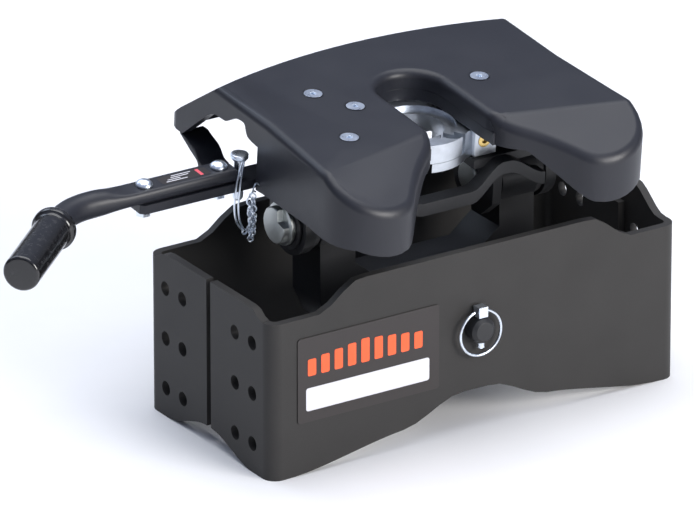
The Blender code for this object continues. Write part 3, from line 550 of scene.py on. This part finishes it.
@dataclass
class BaseBox:
    """The bolt-in box: its bent walls, the roll pin with its linch pin and ring, and the label."""

    wall_round: float = 1.1
    pin_radius: float = 12.7
    roll_height: float = 105.0
    linch_y: float = -114.5
    ring_radius: float = 22.5
    ring_wire: float = 1.4
    face_y: float = -106.8
    label_low: Flat = (-195.0, 56.0)
    label_high: Flat = (-45.0, 135.0)

    def build(self) -> None:
        """Make and dress every piece of the base."""
        for node in ("base_shell_near", "base_shell_far"):
            body = refined(node, self.wall_round, 2, 50.0)
            make_piece(node + "_walls", body, WALLS_PAINTED_FRONT_LIGHT, "base", replaces=[node], sharp=50.0)
        dress(["seam_plate_left", "seam_plate_right", "pin_boss_near", "pin_boss_far"], WALLS_PAINTED_FRONT_LIGHT)
        self.build_pin()
        self.build_ring()
        self.build_label()

    def build_pin(self) -> None:
        """The roll pin with its chamfered end, and the square-headed linch pin through it."""
        far = -self.face_y
        centre = (0.0, 0.0, self.roll_height)
        radius = self.pin_radius
        profile = [(0, far + 8), (16.5, far + 8), (17.6, far + 7.4), (18, far + 6.6), (18, far + 0.3),
                   (radius, far + 0.3), (radius, -far - 11.6), (radius - 0.5, -far - 12.4),
                   (radius - 3.3, -far - 15.2), (radius - 3.9, -far - 15.5), (0, -far - 15.5)]
        make_piece("roll_pin_body", turned(profile, centre, Axis.Y), CASTING, "base", replaces=["roll_pin"])
        body = refined("linch_pin", 0.5, 2, 50.0)
        make_piece("linch_pin_body", body, ZINC, "base", replaces=["linch_pin"])

    def build_ring(self) -> None:
        """The spring ring that snaps round the roll pin's end."""
        top = self.roll_height + 18.5
        middle = top - self.ring_radius + 0.6
        start = math.pi / 2 + math.asin(6.6 / self.ring_radius)
        steps = 72
        sweep = math.tau - 2 * (start - math.pi / 2)
        angles = [start + sweep * i / steps for i in range(steps + 1)]
        route = [(self.ring_radius * math.cos(a), self.linch_y, middle + self.ring_radius * math.sin(a))
                 for a in angles]
        make_piece("linch_ring_wire", swept(route, self.ring_wire), ZINC, "linch_ring",
                   replaces=["linch_ring"])

    def build_label(self) -> None:
        """The printed plate: a dark ground, a blank white panel and a plain orange band of bars."""
        dress(["label_plate"], INK_DARK)
        front = self.face_y - 1.1
        depth = (front - 0.02, front - 0.22)
        left, low = self.label_low
        right, high = self.label_high
        white = rounded_panel((left + 6, low + 8), (right - 8, low + 31), 2.5, depth)
        make_piece("label_panel", white, INK_WHITE, "base")
        step = (right - left - 18.0) / 9.0
        foot = high - 36
        bars = []
        for i in range(9):
            start = left + 8 + step * i
            tall = 24.0 - 1.8 * abs(i - 4)
            bars.append(rounded_panel((start, foot), (start + step * 0.62, foot + tall), 1.6, depth))
        make_piece("label_bars", joined(bars), INK_ORANGE, "base")


@dataclass
class Yoke:
    """The cast cradle with its bushings and washers."""

    edge_round: float = 2.2

    def build(self) -> None:
        """Make and dress every piece of the yoke."""
        body = refined("yoke", self.edge_round, 2, 50.0)
        make_piece("yoke_casting", body, CASTING, "yoke", replaces=["yoke"])
        dress(["roll_bushing_near", "roll_bushing_far", "pitch_bushing_left", "pitch_bushing_right"], POLY)
        dress(["roll_washer_near", "roll_washer_far"], ZINC)


@dataclass
class Head:
    """The tilting head: bearing plate, liner, jaw carrier, ears, bolts and screws."""

    top_round: float = 8.0
    fold_start: float = 40.0
    fold_y: float = -69.0
    fold_shift: float = 12.0
    fold_skew: float = 0.255
    screws: tuple[str, ...] = ("front_left", "rear_left", "pivot_left", "pivot_right")

    def build(self) -> None:
        """Make and dress every piece of the head."""
        self.build_plate()
        for node in ("jaw_carrier", "side_hook", "throat_liner"):
            finish = CASTING if node == "jaw_carrier" else POWDER_PAINTED_COOL_LIGHT
            make_piece(node + "_body", refined(node, 1.5, 2, 50.0), finish, "head", replaces=[node])
        for side in ("left", "right"):
            for kind in ("inner_ear_", "outer_ear_"):
                node = kind + side
                make_piece(node + "_plate", refined(node, 1.2, 2, 50.0), CASTING, "head", replaces=[node])
            dress(["inner_washer_" + side, "outer_washer_" + side], POLY)
            dress(["jaw_pin_" + side], ZINC)
            self.build_bolt(side)
        dress(["bar_shelf"], CASTING)
        for name in self.screws:
            self.build_screw(name)

    def build_plate(self) -> None:
        """The bearing plate, with wide rounds along its top edges."""
        into_head = Frame.HEAD.value.inverted()

        def lies_on_top(edge: bmesh.types.BMEdge) -> bool:
            """Whether an edge is the rim between an upper face and a wall."""
            slopes = sorted(abs((into_head.to_3x3() @ face.normal).z) for face in edge.link_faces)
            ups = [(into_head.to_3x3() @ face.normal).z for face in edge.link_faces]
            high = all((into_head @ vertex.co).z > 60.0 for vertex in edge.verts)
            return high and slopes[0] < 0.3 and max(ups) > 0.6

        body = refined("skid_plate", 0.0)
        for vertex in body.verts:
            place = into_head @ vertex.co
            at_fold = abs(abs(place.x) - self.fold_start) < 0.5 and abs(place.y - self.fold_y) < 4.0
            if at_fold and place.z > 95.0:
                outwards = math.copysign(self.fold_shift, place.x)
                moved = place + Vector((outwards, -self.fold_skew * self.fold_shift, 0.0))
                vertex.co = Frame.HEAD.value @ moved
        bevel_sharp(body, self.top_round, 6, 30.0, lies_on_top)
        make_piece("bearing_plate", body, POWDER_PAINTED_COOL_LIGHT, "head", replaces=["skid_plate"],
                   sharp=42.0)

    def build_bolt(self, side: str) -> None:
        """A pitch bolt with a stepped, notched head, and its collar."""
        body = refined("pitch_bolt_" + side, 0.7, 2, 35.0)
        make_piece("pitch_bolt_body_" + side, body, BOLT_STEEL, "head", replaces=["pitch_bolt_" + side],
                   sharp=30.0)
        body = refined("pitch_collar_" + side, 0.8, 2, 50.0)
        make_piece("pitch_collar_body_" + side, body, CASTING, "head", replaces=["pitch_collar_" + side])

    def build_screw(self, name: str) -> None:
        """A countersunk screw with a rounded rim and a six-lobed socket."""
        body = refined("screw_" + name, 0.35, 2, 40.0)
        make_piece("screw_body_" + name, body, ZINC, "head", replaces=["screw_" + name],
                   sharp=30.0)


@dataclass
class Jaws:
    """The two interlocking jaws, with their bushes, drive pins and the brass plug."""

    edge_round: float = 1.3

    def build(self) -> None:
        """Make and dress every piece of the jaws."""
        for side in ("left", "right"):
            body = "jaw_" + side
            make_piece(body + "_forging", refined(body, self.edge_round, 2, 40.0), JAW_STEEL, body,
                       replaces=[body], sharp=30.0)
            dress(["jaw_bush_" + side], BRASS)
            dress(["drive_pin_" + side], ZINC)
        make_piece("jaw_plug_body", refined("jaw_plug", 0.4, 2, 40.0), BRASS, "jaw_right",
                   replaces=["jaw_plug"])


@dataclass
class ReleaseBar:
    """The release bar, its handle tube with two domed bolts, and the grip."""

    line_y: float = 39.0
    tube_z: float = 45.5
    tube_radius: float = 12.7
    flat_half: float = 6.4
    bar_half: float = 13.5
    tube_end: float = -181.0
    grip_radius: float = 17.5
    grip_start: Flat = (-384.5, 16.0)
    lean: Flat = (-0.7578, -0.6525)
    grip_length: float = 102.0
    bolt_places: dict[str, float] = field(default_factory=lambda: {"inner": -194.0, "outer": -275.0})

    def build(self) -> None:
        """Make and dress every piece that slides with the bar."""
        make_piece("pull_bar_body", refined("pull_bar", 0.9, 2, 50.0), POWDER_PAINTED_COOL_LIGHT, "release_bar",
                   replaces=["pull_bar"])
        make_piece("cam_plate_body", refined("cam_plate", 0.8, 2, 50.0), ZINC, "release_bar",
                   replaces=["cam_plate"])
        self.build_tube()
        self.build_grip()
        for name, x in self.bolt_places.items():
            self.build_bolt(name, x)
        self.build_sticker()

    def flatness(self, x: float) -> float:
        """How much of the tube's flattening is reached at x, from 0 to 1."""
        t = min(max((x + 328.0) / 36.0, 0.0), 1.0)
        return t * t * (3.0 - 2.0 * t)

    def build_tube(self) -> None:
        """The handle tube: pressed flat over the bar, round and bent at the grip."""
        y = self.line_y
        route: list[Sequence[float]] = [(self.tube_end - 1.5 * i, y) for i in range(60)]
        route += [(-272.0 - 4.0 * i, y) for i in range(13)]
        bend = [(-329, y), (-345, y - 1.3), (-359, y - 5.5), (-372, y - 13), self.grip_start]
        route += curve_through(bend, 6)
        start = self.grip_start
        route.append((start[0] + self.lean[0] * 84, start[1] + self.lean[1] * 84))
        body = swept([(x, py, self.tube_z) for x, py in route], self.tube_radius, sides=36)
        for vertex in body.verts:
            flat = self.flatness(vertex.co.x)
            rise = vertex.co.z - self.tube_z
            if flat > 0.0:
                box_rise = max(-self.flat_half, min(self.flat_half, rise * 0.86))
                vertex.co.z = self.tube_z + rise + (box_rise - rise) * flat
                vertex.co.y = y + (vertex.co.y - y) * (1 + flat * (self.bar_half / self.tube_radius - 1))
        make_piece("handle_tube_body", body, POWDER_PAINTED_COOL_LIGHT, "release_bar", Frame.HEAD, ["handle_tube"])

    def build_grip(self) -> None:
        """The dipped grip with a rolled collar and a flat, rounded end."""
        bore = self.tube_radius + 0.3
        radius = self.grip_radius
        end = self.grip_length
        profile: list[Flat] = [(0, end), (radius - 3.2, end), (radius - 1.6, end - 0.5),
                               (radius - 0.5, end - 1.6),
                               (radius, end - 3.2), (radius, 12), (radius + 0.4, 10), (radius + 1.6, 8.6),
                               (radius + 3.0, 7.8), (radius + 3.5, 6.2), (radius + 3.5, 2.6),
                               (radius + 3.1, 1.0), (radius + 2.2, 0.2), (radius + 1.0, 0), (bore, 0),
                               (bore, 85), (0, 85)]
        body = turned(profile, (0, 0, 0), Axis.X)
        turn = Matrix.Rotation(math.atan2(self.lean[1], self.lean[0]), 4, "Z")
        place = Matrix.Translation((*self.grip_start, self.tube_z)) @ turn
        bmesh.ops.transform(body, matrix=place, verts=body.verts[:])
        make_piece("handle_grip_sleeve", body, VINYL, "release_bar", Frame.HEAD, ["handle_grip"])

    def build_bolt(self, name: str, x: float) -> None:
        """A domed bolt through tube and bar, with its nut."""
        crown = self.tube_z + self.flat_half + 0.3
        dome: list[Flat] = [(0, crown + 6)]
        dome += [(8.6 * math.sin(a), crown - 0.4 + 6.4 * math.cos(a))
                 for a in (math.radians(12 * i) for i in range(1, 7))]
        dome += [(8.0, crown + 1.4), (8.0, crown), (4.3, crown), (4.3, 22), (0, 22)]
        make_piece("handle_bolt_body_" + name, turned(dome, (x, self.line_y, 0)), ZINC, "release_bar",
                   Frame.HEAD, ["handle_bolt_" + name])
        make_piece("handle_nut_body_" + name, refined("handle_nut_" + name, 0.5, 2, 40.0), ZINC,
                   "release_bar",
                   replaces=["handle_nut_" + name])

    def build_sticker(self) -> None:
        """The little decal on the flat: a dark ground with plain white rules and a red strip."""
        level = self.tube_z + self.flat_half
        ground = flat_panel((-258, self.line_y - 7), (-206, self.line_y + 7), 1.5,
                            (level - 0.2, level + 0.08))
        make_piece("decal_ground", ground, INK_DARK, "release_bar", Frame.HEAD)
        rules = []
        for row, (start, end) in enumerate(((-253, -230), (-250, -236), (-245, -226), (-243, -222))):
            y = self.line_y - 4.5 + 3.0 * row
            rules.append(flat_panel((start, y), (end, y + 1.1), 0.3, (level, level + 0.14)))
        make_piece("decal_rules", joined(rules), INK_WHITE, "release_bar", Frame.HEAD)
        strip = flat_panel((-217, self.line_y - 6), (-213.5, self.line_y + 6), 0.4, (level, level + 0.14))
        make_piece("decal_strip", strip, INK_RED, "release_bar", Frame.HEAD)


def flat_panel(low: Flat, high: Flat, radius: float, depth: tuple[float, float]) -> bmesh.types.BMesh:
    """A thin level panel in the XY plane with rounded corners, between two heights."""
    body = rounded_panel(low, high, radius, depth)
    for vertex in body.verts:
        vertex.co = (vertex.co.x, vertex.co.z, vertex.co.y)
    bmesh.ops.recalc_face_normals(body, faces=body.faces[:])
    return body


@dataclass
class LockPin:
    """The lock pin, its two-strand spring clip and the chain that hangs from it."""

    x: float = -172.5
    y: float = 37.0
    wire: float = 0.95
    link_length: float = 6.6
    link_width: float = 5.2
    link_wire: float = 0.78

    def build(self) -> None:
        """Make every piece of the lock pin."""
        head: list[Flat] = [(0, 62.5), (7.2, 62.5), (8.1, 62.1), (8.5, 61.3), (8.5, 60.1), (8.0, 59.6),
                            (7.4, 59.4), (8.2, 59.0), (8.5, 58.6), (8.2, 58.0), (7.0, 57.6), (6.8, 56.2),
                            (5.0, 55.4), (5.0, 17.4), (3.6, 15), (0, 15)]
        make_piece("lock_pin_body", turned(head, (self.x, self.y, 0)), ZINC, "lock_pin", Frame.HEAD,
                   ["lock_pin"])
        self.build_clip()
        self.build_chain()

    def build_clip(self) -> None:
        """Two strands of spring wire from the head's neck down to a small eye."""
        x = self.x - 1
        y = self.y - 9.5
        strands = []
        for shift in (-1.0, 1.0):
            route = curve_through([(x + shift, y + 1.6, 57.4), (x - 5 + shift * 1.6, y - 3, 50),
                                   (x - 10 + shift * 2.2, y - 7, 36), (x - 12 + shift * 2.2, y - 9, 18),
                                   (x - 9.5 + shift * 1.8, y - 9.5, 2),
                                   (x - 3.5 + shift * 0.9, y - 9.5, -8)], 8)
            strands.append(swept(route, self.wire, sides=10))
        eye = [(x - 2.0 + 2.4 * math.cos(a), y - 9.5, -10.0 + 2.4 * math.sin(a))
               for a in (math.tau * i / 20 for i in range(20))]
        strands.append(swept(eye, self.wire * 0.9, closed=True, sides=8))
        make_piece("lock_pin_clip_wires", joined(strands), ZINC, "lock_pin", Frame.HEAD, ["lock_pin_clip"])

    def link(self, centre: Vector, along: Vector, roll: float) -> bmesh.types.BMesh:
        """One oval link at centre, lying along a direction and rolled about it."""
        half = self.link_length / 2
        wide = self.link_width / 2
        angles = [math.tau * i / 14 for i in range(14)]
        route = [(wide * math.cos(angle), 0.0, half * math.sin(angle)) for angle in angles]
        body = swept(route, self.link_wire, closed=True, sides=6)
        turn = along.to_track_quat("Z", "Y").to_matrix().to_4x4() @ Matrix.Rotation(roll, 4, "Z")
        bmesh.ops.transform(body, matrix=Matrix.Translation(centre) @ turn, verts=body.verts[:])
        return body

    def build_chain(self) -> None:
        """The twisted-link chain, doubled back on itself below the clip."""
        x = self.x - 1
        y = self.y - 9.5
        links = []
        strands = (
            [(x + 2.2, y - 13.6, 31), (x + 3.2, y - 15.0, 18), (x + 3.4, y - 15.6, 2),
             (x + 3.2, y - 15, -16)],
            [(x - 1.6, y - 13.8, 27), (x - 1.2, y - 16.0, 14), (x - 0.8, y - 16.2, -2),
             (x + 1.6, y - 15, -17)])
        for start, lift in ((strands[0][0], 1.0), (strands[1][0], 0.6)):
            hook = curve_through([start, (start[0] + 2.0, start[1] + 1.5, start[2] + 5.0 * lift),
                                  (start[0] + 5.5, start[1] + 2.5, start[2] + 8.0 * lift),
                                  (start[0] + 8.5, start[1] + 2.5, start[2] + 5.5 * lift)], 6)
            links.append(swept(hook, self.link_wire, sides=8))
        for strand in strands:
            path = [Vector(point) for point in curve_through(strand, 30)]
            travelled = 0.0
            roll = 0.0
            for before, after in zip(path, path[1:]):
                travelled += (after - before).length
                if travelled >= self.link_length * 0.56:
                    travelled = 0.0
                    roll += math.radians(62.0)
                    links.append(self.link(after, (after - before).normalized(), roll))
        make_piece("lock_pin_chain_links", joined(links), ZINC, "lock_pin", Frame.HEAD, ["lock_pin_chain"])


@dataclass(frozen=True)
class Studio:
    """The pale floor, the soft lights and the camera."""

    azimuth: float = 32.853
    elevation: float = 23.029
    distance: float = 9.3028
    lens: float = 511.0
    origin_on_picture: Flat = (413.13, 390.75)
    picture_centre: Flat = (347.0, 256.0)
    pixels_per_metre: float = 1058.9

    def build(self) -> None:
        """Set up the camera, the floor, the lights and the world."""
        bpy.context.scene.view_settings.view_transform = "Standard"
        self.build_camera()
        self.build_floor()
        self.build_light("front_softbox", (0.9, -2.7, 1.2), (1.6, 1.2), 92.0, (1.0, 0.975, 0.95))
        self.build_light("top_softbox", (0.1, 0.3, 3.0), (3.2, 3.0), 92.0, (1.0, 1.0, 1.0))
        self.build_light("rear_softbox", (-0.6, 2.6, 1.9), (2.4, 1.2), 20.0, (0.74, 0.84, 1.0))
        self.build_world()

    def build_world(self) -> None:
        """A soft surround: cool overhead, dim and warm towards the horizon."""
        world = bpy.data.worlds.new("studio")
        world.use_nodes = True
        tree = world.node_tree
        shade = tree.nodes["Background"]
        where = tree.nodes.new("ShaderNodeTexCoord")
        split = tree.nodes.new("ShaderNodeSeparateXYZ")
        blend = tree.nodes.new("ShaderNodeMapRange")
        blend.inputs["From Min"].default_value = 0.05
        blend.inputs["From Max"].default_value = 0.75
        ramp = tree.nodes.new("ShaderNodeMix")
        ramp.data_type = "RGBA"
        ramp.inputs[6].default_value = (0.10, 0.095, 0.09, 1.0)
        ramp.inputs[7].default_value = (0.36, 0.41, 0.56, 1.0)
        tree.links.new(where.outputs["Generated"], split.inputs[0])
        tree.links.new(split.outputs["Z"], blend.inputs["Value"])
        tree.links.new(blend.outputs["Result"], ramp.inputs[0])
        tree.links.new(ramp.outputs[2], shade.inputs["Color"])
        shade.inputs["Strength"].default_value = 1.0
        bpy.context.scene.world = world

    def build_camera(self) -> None:
        """A long lens from the handle's side of the tailgate, a little above."""
        turn = math.radians(self.azimuth)
        tip = math.radians(self.elevation)
        right = Vector((math.cos(turn), -math.sin(turn), 0.0))
        up = Vector((math.sin(turn) * math.sin(tip), math.cos(turn) * math.sin(tip), math.cos(tip)))
        ahead = Vector((math.sin(turn) * math.cos(tip), math.cos(turn) * math.cos(tip), -math.sin(tip)))
        data = bpy.data.cameras.new("camera")
        data.lens = self.lens
        data.sensor_width = 36.0
        data.clip_end = 60.0
        camera = bpy.data.objects.new("camera", data)
        bpy.context.scene.collection.objects.link(camera)
        across = (self.origin_on_picture[0] - self.picture_centre[0]) / self.pixels_per_metre
        down = (self.origin_on_picture[1] - self.picture_centre[1]) / self.pixels_per_metre
        offset = right * across - up * down + ahead * self.distance
        camera.matrix_world = Matrix.Translation(-offset) @ Matrix((right, up, -ahead)).transposed().to_4x4()
        bpy.context.scene.camera = camera

    def build_floor(self) -> None:
        """A wide floor with the faint unevenness of painted board."""
        body = bmesh.new()
        bmesh.ops.create_grid(body, x_segments=2, y_segments=2, size=14.0)
        mesh = bpy.data.meshes.new("studio_floor")
        body.to_mesh(mesh)
        body.free()
        tree = ShaderTree("studio_floor")
        board = tree.noise(60.0, 3.0)
        tree.set(Base_Color=tree.mix(board, (0.83, 0.83, 0.83), (0.86, 0.86, 0.86)), Roughness=0.85)
        mesh.materials.append(tree.material)
        floor = bpy.data.objects.new("studio_floor", mesh)
        bpy.context.scene.collection.objects.link(floor)

    def build_light(self, name: str, place: Point, size: Flat, power: float, colour: Point) -> None:
        """One softbox aimed at the object."""
        data = bpy.data.lights.new(name, "AREA")
        data.shape = "RECTANGLE"
        data.size = size[0]
        data.size_y = size[1]
        data.energy = power
        data.color = colour
        lamp = bpy.data.objects.new(name, data)
        lamp.location = place
        aim = Vector((-0.05, 0.0, 0.18)) - Vector(place)
        lamp.rotation_euler = aim.to_track_quat("-Z", "Y").to_euler()
        bpy.context.scene.collection.objects.link(lamp)


def main() -> None:
    """Build the studio and every sub-assembly, in order."""
    logging.basicConfig(level=logging.INFO, format="%(name)s: %(message)s")
    Studio().build()
    for assembly in (BaseBox(), Yoke(), Head(), Jaws(), ReleaseBar(), LockPin()):
        LOG.info("building %s", type(assembly).__name__)
        assembly.build()


if __name__ == "__main__":
    main()
